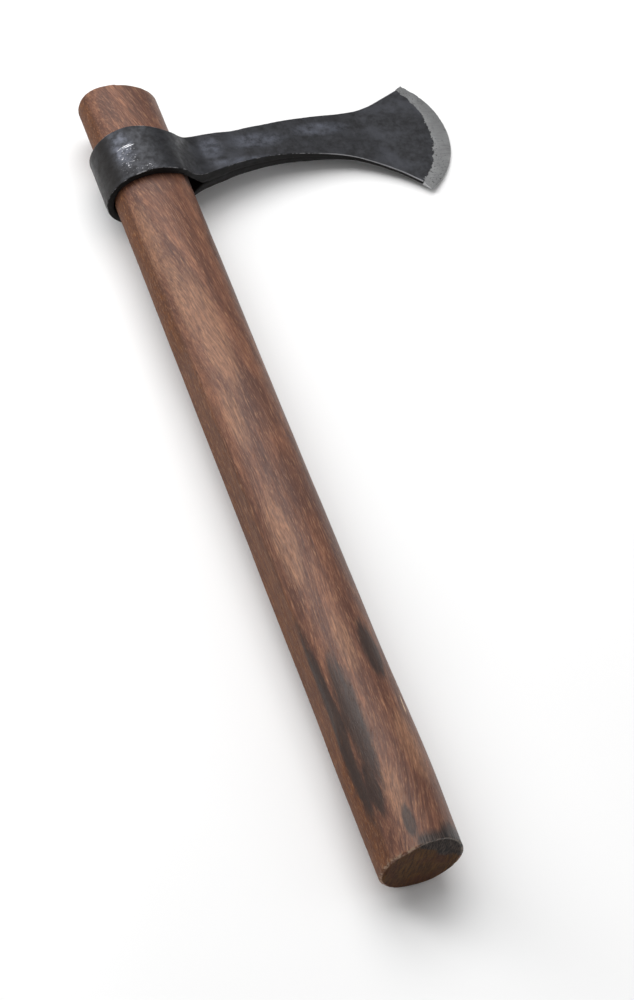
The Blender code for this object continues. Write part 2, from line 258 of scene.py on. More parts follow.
def haft_rows(y, setback, inset):
    """Rings of the haft; setback and inset are shares of the wear at the top rim."""
    ridge_softness = 0.22 * MM
    angle = math.tau * np.arange(HAFT_SIDES) / HAFT_SIDES
    width, thick, power, cx, cz = (column[:, None] for column in haft_measures(y))
    x, z = superellipse(width, thick, power, angle[None, :])
    there = smooth_step(y, FLAT_ENDS[0], FLAT_ENDS[0] + FLAT_RUN)
    there = there * (1.0 - smooth_step(y, FLAT_ENDS[1] - FLAT_RUN, FLAT_ENDS[1]))
    flat = (FLAT_FADE + (FLAT_OFFSET - FLAT_FADE) * there)[:, None]
    x = soft_floor(x, -flat, ridge_softness)
    worn = TOP_WEAR + TOP_WEAR_POLL * np.maximum(-x / width, 0.0) ** 2
    shrink = 1.0 - inset[:, None] * worn / np.hypot(x, z)
    x = x * shrink + cx
    z = z * shrink + cz
    lean = (TOP_SLOPE * smooth_step(y, TOP_SHEAR_FROM, HAFT_TOP))[:, None]
    along = y[:, None] + lean * x - setback[:, None] * worn
    return np.stack((x, along, z), axis=-1)


def haft_relief(points):
    """Knife facets, hollows and raised grain of the hand-shaved wood, mostly cut inwards."""
    shaved = noise(points, (9 * MM, 70 * MM, 9 * MM), 3)
    strokes = noise(points, (4 * MM, 22 * MM, 4 * MM), 7)
    grain = noise(grain_space(points), (0.9 * MM, 20 * MM, 0.9 * MM), 11)
    relief = 0.20 * shaved + 0.06 * strokes + 0.018 * grain
    return (relief - 0.23) * MM


def grain_space(points):
    """Points moved so that the curved grain of the haft runs straight along Y."""
    bend_at, bend = -200.0 * MM, 1.1
    moved = points.copy()
    moved[:, 0] += 0.5 * bend * (points[:, 1] - bend_at) ** 2
    return moved


def cut_butt_facet(points):
    """Points past the shallow worn facet of the butt, brought back on to it."""
    across = points[:, 0] * math.cos(BUTT_FACET_ANGLE) + points[:, 2] * math.sin(BUTT_FACET_ANGLE)
    facet = HAFT_BUTT + (across - BUTT_FACET_OFFSET) * math.tan(BUTT_FACET_TILT)
    clear_of_box = 0.02 * MM
    points[:, 1] = np.maximum(points[:, 1], np.maximum(facet, HAFT_BUTT + clear_of_box))


def cap_rings(rim, count, reach=0.985):
    """Rings that shrink from a rim towards its middle, to carry the relief of a sawn end."""
    middle = rim.mean(axis=0)
    shares = reach * np.linspace(0.0, 1.0, count + 1)[1:]
    return np.stack([rim + (middle - rim) * share for share in shares])


def make_haft():
    """The haft: shaved skin, worn top rim, sawn ends with their end-grain relief."""
    inner = HAFT_BUTT + BUTT_CHAMFER
    y = np.linspace(inner, HAFT_TOP, HAFT_ROWS)
    none = np.zeros(HAFT_ROWS)
    worn_y = np.full(RIM_ROWS, HAFT_TOP)
    turn = np.linspace(0.0, math.pi / 2.0, RIM_ROWS)
    body = haft_rows(y[:-1], none[:-1], none[:-1])
    highest = HAFT_TOP - TOP_SLOPE * 15 * MM
    rim_room = 3.2 * MM
    body = body[body[:, :, 1].max(axis=1) < highest - rim_room]
    rim = haft_rows(worn_y, 1.0 - np.sin(turn), 1.0 - np.cos(turn))
    chamfer = []
    for share in (1.0, 0.7, 0.35):
        ring = body[0].copy()
        radial = ring * (1.0, 0.0, 1.0)
        radial /= np.linalg.norm(radial, axis=1)[:, None]
        ring -= radial * BUTT_CHAMFER * share ** 1.5
        ring[:, 1] = inner - BUTT_CHAMFER * share
        chamfer.append(ring)
    skin = np.concatenate((np.array(chamfer), body, rim))
    butt_cap = cap_rings(skin[0], CAP_RINGS)[::-1]
    top_cap = cap_rings(skin[-1], CAP_RINGS)
    rings = np.concatenate((butt_cap, skin, top_cap))
    points = rings.reshape(-1, 3)
    faces = tube_faces(len(rings), HAFT_SIDES)

    amount = haft_relief(points)
    ring_of = np.repeat(np.arange(len(rings)), HAFT_SIDES)
    in_butt = ring_of < CAP_RINGS
    in_top = ring_of >= len(rings) - CAP_RINGS
    saw = noise(points, (1.1 * MM, 5 * MM, 9 * MM), 21)
    pits = noise(points, (0.7 * MM, 5 * MM, 0.7 * MM), 23)
    rough = (0.10 * saw + 0.05 * pits - 0.12) * MM
    amount[in_butt | in_top] = rough[in_butt | in_top]
    rim_dist = np.minimum(np.abs(ring_of - CAP_RINGS - 1.5), np.abs(ring_of - len(rings) + CAP_RINGS + 4))
    chips = np.clip(noise(points, (2.2 * MM, 3 * MM, 2.2 * MM), 31) - 0.2, 0.0, 1.0)
    amount -= chips * np.exp(-(rim_dist / 2.5) ** 2) * 0.5 * MM
    points = pushed_out(points, faces, amount)
    cut_butt_facet(points)
    end_grain = (in_butt | in_top).astype(float)
    # How near each point is to the rims of the sawn ends, where paler wear and a painted highlight go
    worn_rim = np.exp(-(rim_dist / 1.6) ** 2)
    haft = piece("shaved_haft", points, faces, 60.0, end_grain=end_grain, worn_rim=worn_rim)
    cut_wedge_slots(haft)
    return haft


# ---- the wedges ----

WOOD_WEDGE = (26.0 * MM, -12.0 * MM, (1.7 * MM, 0.4 * MM))
IRON_WEDGE = (18.0 * MM, 14.0 * MM, (1.3 * MM, 0.4 * MM))
WEDGE_OVERRUN = 8.0 * MM


def wedge_block(name, wedge, clearance, crosswise):
    """A tapering block, from above the top end down to the wedge's tip."""
    width, tip, (head, point) = wedge
    half = width / 2.0 + clearance
    corners = []
    for y, thick in ((tip - clearance, point + clearance), (HAFT_TOP + WEDGE_OVERRUN, head + clearance)):
        for a, b in ((-1, -1), (1, -1), (1, 1), (-1, 1)):
            wide, thin = a * half, b * thick
            corners.append((thin, y, wide) if crosswise else (wide, y, thin))
    return piece(name, corners, tube_faces(2, 4))


def cut_wedge_slots(haft):
    for name, wedge, crosswise in (("wood_slot", WOOD_WEDGE, False), ("iron_slot", IRON_WEDGE, True)):
        cutter = wedge_block(name, wedge, FIT_GAP, crosswise)
        apply_boolean(haft, cutter)


def apply_boolean(target, cutter):
    """Cuts the cutter out of the target for good, and removes the cutter."""
    step = target.modifiers.new("cut", "BOOLEAN")
    step.object = cutter
    step.solver = "EXACT"
    bpy.context.view_layer.update()
    graph = bpy.context.evaluated_depsgraph_get()
    mesh = bpy.data.meshes.new_from_object(target.evaluated_get(graph))
    target.modifiers.clear()
    target.data = mesh
    bpy.data.objects.remove(cutter)


# ---- the head ----

def shoulder_at(share):
    """The place on the bevels' border at a share of the way from its heel to its toe."""
    return on_arc(SHOULDER_CENTRE, SHOULDER_RADIUS, SHOULDER_HEEL + share * (SHOULDER_TOE - SHOULDER_HEEL))


TOP_CURVE = smooth_path((tuple(shoulder_at(1.0) / MM),) + TOP_LINE)
BOTTOM_CURVE = smooth_path(BOTTOM_LINE + (tuple(shoulder_at(0.0) / MM),))


def top_of(x):
    return np.interp(x, TOP_CURVE[::-1, 0], TOP_CURVE[::-1, 1])


def bottom_of(x):
    return np.interp(x, BOTTOM_CURVE[:, 0], BOTTOM_CURVE[:, 1])


def blade_half(x):
    """Half thickness of the neck and blade at a distance from the haft's axis."""
    spare = NECK_HALF - NECK_TAPER * (x - NECK_START) - BLADE_HALF
    return BLADE_HALF + BLADE_BLEND * np.logaddexp(0.0, spare / BLADE_BLEND)


FACE_POINTS = 46
CORNER_POINTS = 5
SIDE_POINTS = 2
INNER_CORNER_POINTS = 3
BLADE_ROWS = 250
THROAT_ROWS = 48
RING_ROWS = 150
SHARP_CORNER = 0.15 * MM
WORN_CORNER = 0.6 * MM
EYE_CORNER = 0.7 * MM


def strap_corners(width, thick, outer_radius, inner_radius):
    """A rounded oblong as (share of the width, share of the thickness), outer face first.

    Beside it, how far each of its points is on a worn corner, and on the strap's sides.
    """
    turn = np.linspace(0.0, math.pi / 2.0, CORNER_POINTS + 1)
    r_a, r_h = outer_radius / width, outer_radius / thick
    q_a, q_h = inner_radius / width, inner_radius / thick
    across = np.linspace(r_a, 1.0 - r_a, FACE_POINTS)
    back = np.linspace(1.0 - q_a, q_a, FACE_POINTS)
    loop = [(a, 0.0) for a in across]
    loop += [(1.0 - r_a + r_a * math.sin(t), r_h - r_h * math.cos(t)) for t in turn[1:]]
    loop += [(1.0, r_h + (1.0 - q_h - r_h) * s) for s in (0.33, 0.67)]
    loop += [(1.0 - q_a + q_a * math.cos(t), 1.0 - q_h + q_h * math.sin(t)) for t in turn[::2]]
    loop += [(a, 1.0) for a in back]
    loop += [(q_a - q_a * math.sin(t), 1.0 - q_h + q_h * math.cos(t)) for t in turn[::2]]
    loop += [(0.0, 1.0 - q_h + (r_h + q_h - 1.0) * s) for s in (0.33, 0.67)]
    loop += [(r_a - r_a * math.cos(t), r_h - r_h * math.sin(t)) for t in turn[:-1]]
    crest = [0.1, 0.8, 1.0, 0.4, 0.0]
    rolled = [0.0, 0.1, 0.5, 1.0, 1.0]
    inside = len(loop) - FACE_POINTS - 2 * CORNER_POINTS
    edge = [0.0] * FACE_POINTS + crest + [0.0] * inside + crest[::-1]
    side = [0.0] * FACE_POINTS + rolled + [1.0] * inside + rolled[::-1]
    return np.array(loop), np.array(edge), np.array(side)


def strap_end_faces(first, count):
    """Small faces that close one end of the strap: its outline curves, so one face would fold."""
    back = FACE_POINTS + CORNER_POINTS + SIDE_POINTS + INNER_CORNER_POINTS
    last = back + FACE_POINTS - 1
    faces = [[first + k, first + k + 1, first + last - k - 1, first + last - k]
             for k in range(FACE_POINTS - 1)]
    faces.append([first + k for k in range(FACE_POINTS - 1, back + 1)])
    faces.append([first + k % count for k in range(last, count + 1)])
    return faces


def pocket_half(x, y):
    """Half the space left between the strap's ends for the bit's tongue."""
    radius = np.hypot(x - SHOULDER_CENTRE[0], y - SHOULDER_CENTRE[1])
    angle = np.arctan2(y - SHOULDER_CENTRE[1], x - SHOULDER_CENTRE[0])
    deep = smooth_step(radius, SHOULDER_RADIUS - TONGUE_DEPTH - 1.0 * MM, SHOULDER_RADIUS - TONGUE_DEPTH)
    side = math.radians(3.0)
    within = smooth_step(angle, TONGUE_HEEL - side, TONGUE_HEEL)
    within = within * (1.0 - smooth_step(angle, TONGUE_TOE, TONGUE_TOE + side))
    return (TONGUE_HALF + 0.15 * MM) * deep * within * (x > 100 * MM) - 0.03 * MM


def blade_place(u, v):
    """A place of the blade in plan: u from the neck to the bevels, v from the heel's side up.

    It blends the blade's four sides: straight at the neck, and the shoulder's arc at the end.
    """
    heel = shoulder_at(0.0)
    toe = shoulder_at(1.0)
    low_x = NECK_START + u * (heel[0] - NECK_START)
    high_x = NECK_START + u * (toe[0] - NECK_START)
    low = np.stack((low_x, bottom_of(low_x)), axis=-1)
    high = np.stack((high_x, top_of(high_x)), axis=-1)
    start_low = np.array((NECK_START, bottom_of(NECK_START)))
    start_high = np.array((NECK_START, top_of(NECK_START)))
    start = start_low + v[..., None] * (start_high - start_low)
    end = shoulder_at(v)
    u, v = u[..., None], v[..., None]
    corners = (1 - u) * ((1 - v) * start_low + v * start_high) + u * ((1 - v) * heel + v * toe)
    return (1 - v) * low + v * high + (1 - u) * start + u * end - corners


def upper_half_of_strap():
    """Rows of the folded strap from the bevels' border, over the neck, to the poll."""
    rows = []
    for share in np.linspace(1.0, 0.0, BLADE_ROWS):
        middle = blade_place(np.array(share), np.array((0.0, 0.5, 1.0)))
        width = np.linalg.norm(middle[2] - middle[0])
        thick = float(blade_half(middle[1][0]))
        loop, edges, sides = strap_corners(width, thick, min(WORN_CORNER, 0.5 * thick), SHARP_CORNER)
        plan = blade_place(np.full(len(loop), share), loop[:, 0])
        outer = blade_half(plan[:, 0])
        inner = pocket_half(plan[:, 0], plan[:, 1])
        z = outer + (inner - outer) * loop[:, 1]
        rows.append(np.column_stack((plan, z)))

    leave = np.array((RING_POLL * math.sin(RING_LEAVES), RING_CHEEK * math.cos(RING_LEAVES)))
    slope = -RING_CHEEK / RING_POLL * math.tan(RING_LEAVES)
    run = NECK_START - leave[0]
    width, thick, power, cx, _ = (float(v[0]) for v in haft_measures(np.array((0.0,))))
    eye_turn = math.radians(42.0)
    touch = np.array(superellipse(width + FIT_GAP, thick + FIT_GAP, power, eye_turn)) + (cx, 0.0)
    throat = np.array((THROAT, 0.2 * MM))
    for t in np.linspace(1.0, 0.0, THROAT_ROWS)[1:]:
        height = ((2 * t ** 3 - 3 * t ** 2 + 1) * leave[1] + (t ** 3 - 2 * t ** 2 + t) * run * slope
                  + (3 * t ** 2 - 2 * t ** 3) * NECK_HALF - (t ** 3 - t ** 2) * run * NECK_TAPER)
        outer = np.array((leave[0] + run * t, height))
        rows.append(ring_row(outer, touch + (throat - touch) * t))
    for turn in np.linspace(RING_LEAVES, -math.pi / 2.0, RING_ROWS)[1:]:
        outer = np.array((RING_POLL * math.sin(turn), RING_CHEEK * math.cos(turn)))
        share = (RING_LEAVES - turn) / (RING_LEAVES + math.pi / 2.0)
        angle = eye_turn + (math.pi - eye_turn) * share
        inner = np.array(superellipse(width + FIT_GAP, thick + FIT_GAP, power, angle)) + (cx, 0.0)
        rows.append(ring_row(outer, inner))
    return np.array(rows), edges, sides


def ring_row(outer, inner):
    """One section of the strap round the eye, between an outer and an inner place."""
    low, high = float(bottom_of(outer[0])), float(top_of(outer[0]))
    low_in, high_in = float(bottom_of(inner[0])), float(top_of(inner[0]))
    thick = np.linalg.norm(outer - inner)
    loop, _, _ = strap_corners(high - low, thick, WORN_CORNER, EYE_CORNER)
    a, h = loop[:, 0], loop[:, 1]
    y = (low + (high - low) * a) * (1 - h) + (low_in + (high_in - low_in) * a) * h
    x = outer[0] + (inner[0] - outer[0]) * h
    z = outer[1] + (inner[1] - outer[1]) * h
    return np.column_stack((x, y, z))


def make_strap():
    """The folded strap: hammered cheeks and ring, rounded edges, worn bright on the rims."""
    upper, edges, sides = upper_half_of_strap()
    lower = upper[:-1][::-1] * (1.0, 1.0, -1.0)
    rows = np.concatenate((upper, lower))
    count = rows.shape[1]
    points = rows.reshape(-1, 3)
    faces = tube_faces(len(rows), count, close_ends=False)
    faces += strap_end_faces(0, count) + strap_end_faces((len(rows) - 1) * count, count)
    edge = np.tile(edges, len(rows))
    side = np.tile(sides, len(rows))
    dents = noise(points, (8 * MM, 8 * MM, 8 * MM), 41)
    dings = noise(points, (3.2 * MM, 3.2 * MM, 3.2 * MM), 43)
    pits = noise(points, (1.0 * MM, 1.0 * MM, 1.0 * MM), 47)
    on_blade = smooth_step(points[:, 0], 100 * MM, 135 * MM)
    amount = (0.20 * dents + 0.05 * dings) * (1.0 - 0.6 * on_blade) + 0.012 * pits - 0.15 * (1 - on_blade)
    around = np.tile(np.arange(count), len(rows))
    past_face = CORNER_POINTS + 1
    outer_face = (around < FACE_POINTS + past_face) | (around > count - past_face - 1)
    inner_share = 0.35
    amount = np.where(outer_face, amount, inner_share * amount) * MM
    near_bit = np.hypot(points[:, 0] - SHOULDER_CENTRE[0], points[:, 1] - SHOULDER_CENTRE[1])
    near_bit = smooth_step(near_bit, SHOULDER_RADIUS - 4 * MM, SHOULDER_RADIUS) * (points[:, 0] > 105 * MM)
    amount = amount * (1.0 - near_bit)
    points = pushed_out(points, faces, amount)
    wave = noise(points, (9 * MM, 60 * MM, 9 * MM), 53) * 0.28 * MM * (1.0 - on_blade)
    points[:, 1] += wave * np.maximum(edge, side)
    return piece("forged_strap", points, faces, 60.0, edge=edge, side=side)


def make_bit():
    """The ground steel: two slightly rounded bevels that meet in a fine worn edge."""
    rows, across = 260, 30
    edge_half = 0.12 * MM
    swell = 0.10 * MM
    sections = []
    for row in range(rows):
        share = row / (rows - 1)
        shoulder = shoulder_at(share)
        edge = on_arc(EDGE_CENTRE, EDGE_RADIUS - 0.05 * MM, EDGE_HEEL + (EDGE_TOE - EDGE_HEEL) * share)
        tongue_angle = TONGUE_HEEL + (TONGUE_TOE - TONGUE_HEEL) * share
        tongue = on_arc(SHOULDER_CENTRE, SHOULDER_RADIUS - TONGUE_DEPTH + 0.3 * MM, tongue_angle)
        root = on_arc(SHOULDER_CENTRE, SHOULDER_RADIUS, tongue_angle)
        border_half = float(blade_half(shoulder[0]))
        t = np.linspace(0.0, 1.0, across)
        plan = shoulder + (edge - shoulder) * t[:, None]
        z = border_half + (edge_half - border_half) * t + swell * np.sin(math.pi * t)
        upper = np.column_stack((plan, z))
        lower = upper[::-1] * (1.0, 1.0, -1.0)
        held = [(*root, -TONGUE_HALF), (*tongue, -TONGUE_HALF)]
        held += [(*tongue, TONGUE_HALF), (*root, TONGUE_HALF)]
        sections.append(np.concatenate((upper, lower, held)))
    sections = np.array(sections)
    points = sections.reshape(-1, 3)
    nick = noise(points, (1.4 * MM, 1.4 * MM, 40 * MM), 61)
    nick += 0.5 * noise(points, (0.5 * MM, 0.5 * MM, 40 * MM), 67)
    to_edge = np.hypot(points[:, 0] - EDGE_CENTRE[0], points[:, 1] - EDGE_CENTRE[1])
    at_edge = smooth_step(to_edge, EDGE_RADIUS - 0.8 * MM, EDGE_RADIUS)
    inwards = EDGE_CENTRE - points[:, :2]
    inwards /= np.linalg.norm(inwards, axis=1)[:, None]
    points[:, :2] += inwards * (at_edge * np.clip(nick, 0.0, 1.0) * 0.28 * MM)[:, None]
    return piece("ground_bit", points, tube_faces(rows, sections.shape[1]), 35.0)


def make_wedges():
    """The two wedges, flush with the sloping top end; the iron one splits the wooden one."""
    made = []
    for name, wedge, crosswise, dome in (("driven_wood_wedge", WOOD_WEDGE, False, 0.15),
                                         ("driven_iron_wedge", IRON_WEDGE, True, 0.25)):
        width, tip, (head, point) = wedge
        wide_steps, thin_steps, long_steps = 60, 8, 24
        rings = []
        for step in range(long_steps + 1):
            share = step / long_steps
            y = tip + (HAFT_TOP - FIT_GAP - tip) * share
            thick = point + (head - point) * share
            ring = oblong_ring(width / 2.0, thick, wide_steps, thin_steps)
            rings.append(np.column_stack((ring[:, 0], np.full(len(ring), y), ring[:, 1])))
        for share in (0.12, 0.3, 0.5, 0.75, 0.93):
            ring = oblong_ring(width / 2.0 - share * thick, thick * (1.0 - share), wide_steps, thin_steps)
            y = HAFT_TOP - FIT_GAP + dome * MM * share * (2.0 - share)
            rings.append(np.column_stack((ring[:, 0], np.full(len(ring), y), ring[:, 1])))
        rings = np.array(rings)
        if crosswise:
            rings = rings[:, :, ::-1].copy()
        slope = TOP_SLOPE * smooth_step(rings[:, :, 1], TOP_SHEAR_FROM, HAFT_TOP)
        rings[:, :, 1] += slope * rings[:, :, 0]
        points = rings.reshape(-1, 3)
        faces = tube_faces(len(rings), rings.shape[1])
        rough = noise(points, (1.2 * MM, 6 * MM, 1.2 * MM), 71) * 0.06 * MM - 0.06 * MM
        points = pushed_out(points, faces, rough)
        made.append(piece(name, points, faces, 40.0))
    split_gap = 0.2 * MM
    apply_boolean(made[0], wedge_block("iron_slot", IRON_WEDGE, split_gap, True))
    return made


def oblong_ring(half_wide, half_thin, wide_steps, thin_steps):
    """Points round an oblong, more of them along its long sides."""
    wide = np.linspace(-1.0, 1.0, wide_steps, endpoint=False)
    thin = np.linspace(-1.0, 1.0, thin_steps, endpoint=False)
    ring = [(half_wide * w, -half_thin) for w in wide] + [(half_wide, half_thin * t) for t in thin]
    ring += [(-half_wide * w, half_thin) for w in wide] + [(-half_wide, -half_thin * t) for t in thin]
    return np.array(ring)


# ---- materials ----

class Nodes:
    """Short calls for building one material's node tree, in millimetres of the axe's frame."""

    def __init__(self, name):
        self.material = bpy.data.materials.new(name)
        self.material.use_nodes = True
        self.tree = self.material.node_tree
        self.shader = self.tree.nodes["Principled BSDF"]
        back = AXE.inverted()
        to_axe = self.add("ShaderNodeMapping", vector_type="POINT")
        self.feed(to_axe.inputs["Vector"], self.add("ShaderNodeTexCoord").outputs["Object"])
        self.feed(to_axe.inputs["Scale"], (1 / MM, 1 / MM, 1 / MM))
        self.feed(to_axe.inputs["Rotation"], tuple(back.to_euler()))
        self.feed(to_axe.inputs["Location"], tuple(back.translation / MM))
        self.place = to_axe.outputs[0]

    def add(self, kind, **settings):
        node = self.tree.nodes.new(kind)
        for key, value in settings.items():
            setattr(node, key, value)
        return node

    def feed(self, socket, value):
        if isinstance(value, bpy.types.NodeSocket):
            self.tree.links.new(value, socket)
        elif isinstance(value, tuple) and socket.type == "RGBA":
            socket.default_value = (*value, 1.0)
        else:
            socket.default_value = value

    def vector(self, operation, first, second=(0.0, 0.0, 0.0)):
        node = self.add("ShaderNodeVectorMath", operation=operation)
        self.feed(node.inputs[0], first)
        self.feed(node.inputs[1], second)
        return node.outputs["Value" if operation in ("LENGTH", "DOT_PRODUCT") else "Vector"]

    def math(self, operation, first, second=0.0, clamp=False):
        node = self.add("ShaderNodeMath", operation=operation, use_clamp=clamp)
        self.feed(node.inputs[0], first)
        self.feed(node.inputs[1], second)
        return node.outputs[0]

    def times(self, first, second):
        return self.math("MULTIPLY", first, second)

    def plus(self, first, second):
        return self.math("ADD", first, second)

    def minus(self, first, second):
        return self.math("SUBTRACT", first, second)

    def most(self, first, second, clamp=False):
        return self.math("MAXIMUM", first, second, clamp)

    def noise(self, place, size, detail=3.0, roughness=0.5, distortion=0.0):
        """Noise whose grain has that size along X, Y and Z, in millimetres."""
        scaled = self.vector("MULTIPLY", place, tuple(1.0 / s for s in size))
        node = self.add("ShaderNodeTexNoise")
        self.feed(node.inputs["Vector"], scaled)
        self.feed(node.inputs["Scale"], 1.0)
        self.feed(node.inputs["Detail"], detail)
        self.feed(node.inputs["Roughness"], roughness)
        self.feed(node.inputs["Distortion"], distortion)
        return node.outputs["Fac"]

    def ramp(self, value, low, high, to_low=0.0, to_high=1.0):
        """value from low to high, eased into to_low to to_high."""
        node = self.add("ShaderNodeMapRange", interpolation_type="SMOOTHSTEP")
        self.feed(node.inputs["Value"], value)
        self.feed(node.inputs["From Min"], low)
        self.feed(node.inputs["From Max"], high)
        self.feed(node.inputs["To Min"], to_low)
        self.feed(node.inputs["To Max"], to_high)
        return node.outputs["Result"]

    def mix(self, share, first, second):
        """first where share is 0, second where it is 1."""
        node = self.add("ShaderNodeMix", data_type="RGBA")
        self.feed(node.inputs["Factor"], share)
        self.feed(node.inputs[6], first)
        self.feed(node.inputs[7], second)
        return node.outputs[2]

    def attribute(self, name):
        return self.add("ShaderNodeAttribute", attribute_name=name).outputs["Fac"]

    def blob(self, centre, radii):
        """1 at the centre of an ellipsoid, falling to 0 at its surface."""
        offset = self.vector("SUBTRACT", self.place, centre)
        scaled = self.vector("MULTIPLY", offset, tuple(1.0 / r for r in radii))
        return self.ramp(self.vector("LENGTH", scaled), 1.0, 0.35)

    def finish(self, colour, roughness, metallic=0.0, height=None, relief_mm=0.1):
        self.feed(self.shader.inputs["Base Color"], colour)
        self.feed(self.shader.inputs["Roughness"], roughness)
        self.feed(self.shader.inputs["Metallic"], metallic)
        if height is not None:
            bump = self.add("ShaderNodeBump")
            self.feed(bump.inputs["Strength"], 1.0)
            self.feed(bump.inputs["Distance"], relief_mm * MM)
            self.feed(bump.inputs["Height"], height)
            self.feed(self.shader.inputs["Normal"], bump.outputs["Normal"])
        return self.material


def bent_grain(n):
    """The place with the haft's slanting, curved and gently wavy grain drawn straight along Y."""
    bend_at, bend = -215.0, 0.00135
    parts = n.add("ShaderNodeSeparateXYZ")
    n.feed(parts.inputs[0], n.place)
    along = n.minus(parts.outputs["Y"], bend_at)
    shift = n.times(n.times(along, along), 0.5 * bend)
    wander = n.times(n.minus(n.noise(n.place, (26, 75, 26), 1.0), 0.5), 9.0)
    joined = n.add("ShaderNodeCombineXYZ")
    n.feed(joined.inputs["X"], n.plus(parts.outputs["X"], n.plus(shift, wander)))
    n.feed(joined.inputs["Y"], parts.outputs["Y"])
    n.feed(joined.inputs["Z"], n.plus(parts.outputs["Z"], n.times(wander, 0.6)))
    return joined.outputs[0], parts


# Colours, as linear red, green and blue
WOOD_DARK = (0.098, 0.038, 0.0235)
WOOD_MID = (0.255, 0.110, 0.062)
PATCH_DARK = (0.082, 0.039, 0.030)
# Paler wood, and also a painted highlight along the band right of the ridge
PATCH_PALE_AND_HIGHLIGHT = (0.370, 0.190, 0.108)
# Painted shade: the flat side darkened, as it faces away from the light
FLAT_SHADE_BROWN = (0.088, 0.029, 0.0085)
FLAT_ORANGE = (0.190, 0.064, 0.014)
# Painted shade along the ridge, on the flat just below it
RIDGE_SHADE_BROWN = (0.075, 0.027, 0.013)
DASH_DARK = (0.070, 0.028, 0.018)
DASH_PALE = (0.420, 0.220, 0.115)
FLECK_PALE = (0.400, 0.215, 0.120)
FLECK_DARK = (0.066, 0.027, 0.019)
FIBRE_DARK = (0.060, 0.024, 0.016)
LINE_DARK = (0.050, 0.020, 0.014)
PORE_DARK = (0.026, 0.011, 0.008)
SMOKE = (0.022, 0.0145, 0.0125)
FRESH_CHIP = (0.62, 0.42, 0.27)
END_DARK = (0.026, 0.0080, 0.0015)
END_OLIVE = (0.098, 0.040, 0.0050)
END_RED = (0.048, 0.0095, 0.0025)
END_SPECK = (0.085, 0.047, 0.016)
BURNT_DARK = (0.003, 0.0024, 0.0022)
BURNT_PALE = (0.055, 0.040, 0.034)
# Pale rims of the sawn ends: worn wood, and a painted highlight along the rim's edge
RIM_WEAR_AND_HIGHLIGHT = (0.42, 0.30, 0.21)
SCALE_DARK = (0.020, 0.020, 0.022)
SCALE_MID = (0.046, 0.047, 0.052)
SCALE_PALE = (0.070, 0.073, 0.085)
# Worn bluish iron, and a painted highlight on the ring's poll-side top
WEAR_AND_HIGHLIGHT_BLUE = (0.125, 0.134, 0.165)
POLL_BROWN = (0.018, 0.015, 0.0125)
# Painted shade on the strap's edge-on sides and inner faces
SIDE_SHADE_BLACK = (0.0085, 0.0075, 0.0065)
BARE_IRON = (0.50, 0.50, 0.52)
STEEL_DARK = (0.30, 0.303, 0.306)
STEEL_PALE = (0.41, 0.413, 0.417)
STEEL_CROSSED = (0.19, 0.19, 0.193)
STEEL_BRIGHT = (0.47, 0.474, 0.478)
PIT_BLACK = (0.04, 0.038, 0.037)
WEDGE_BROWN = (0.16, 0.085, 0.036)
WEDGE_PALE = (0.38, 0.235, 0.12)
WEDGE_DIRT = (0.05, 0.03, 0.018)
IRON_GREY = (0.13, 0.125, 0.12)
RUST = (0.085, 0.040, 0.022)
FLOOR_DARKER = (0.84, 0.84, 0.84)
FLOOR_PALER = (0.86, 0.86, 0.86)

# Patches of the haft's skin: centre and radii, in the axe's frame and in millimetres
# Pale patches: partly paler wood, partly a painted highlight along the band just right of the ridge
PALE_AND_HIGHLIGHT_PATCHES = (
    ((-14.5, -45.0, 10.0), (7.0, 30.0, 8.0)), ((-5.0, -100.0, 17.0), (9.0, 48.0, 10.0)),
    ((-10.0, -212.0, 15.0), (8.0, 34.0, 8.0)), ((-11.5, -78.0, 14.0), (6.0, 36.0, 7.0)),
    ((-10.0, -147.0, 15.0), (5.5, 24.0, 6.0)), ((-3.0, -266.0, 18.0), (5.5, 22.0, 7.0)),
    ((-7.0, -340.0, 17.5), (5.5, 24.0, 7.0)),
    ((8.0, -318.0, 17.0), (8.0, 26.0, 8.0)),
)
DARK_PATCHES = (
    ((3.0, -142.0, 16.5), (15.0, 26.0, 9.0)), ((15.0, -60.0, 9.0), (6.0, 52.0, 9.0)),
    ((13.0, -215.0, 12.0), (7.0, 40.0, 9.0)), ((-11.0, 30.0, 13.5), (5.5, 14.0, 6.0)),
    ((5.0, -186.0, 16.5), (9.0, 24.0, 8.0)), ((0.0, -16.0, 16.0), (12.0, 12.0, 7.0)),
    ((6.0, 30.0, 15.0), (12.0, 22.0, 9.0)),
)
STAINS = (
    ((-11.0, -300.0, 15.0), (8.0, 46.0, 7.0)), ((-16.4, -300.0, 8.5), (5.0, 70.0, 6.5)),
    ((-13.5, -332.0, 13.0), (4.5, 20.0, 5.0)), ((8.0, -271.0, 17.0), (6.5, 22.0, 7.0)),
    ((-6.0, -352.0, 18.0), (3.8, 12.0, 5.0)), ((11.0, -366.0, 14.0), (12.0, 17.0, 14.0)),
    ((15.0, -8.0, 9.0), (5.0, 18.0, 9.0)),
    ((8.0, -190.0, -14.0), (12.0, 60.0, 10.0)), ((-4.0, -60.0, -16.0), (10.0, 40.0, 8.0)),
)


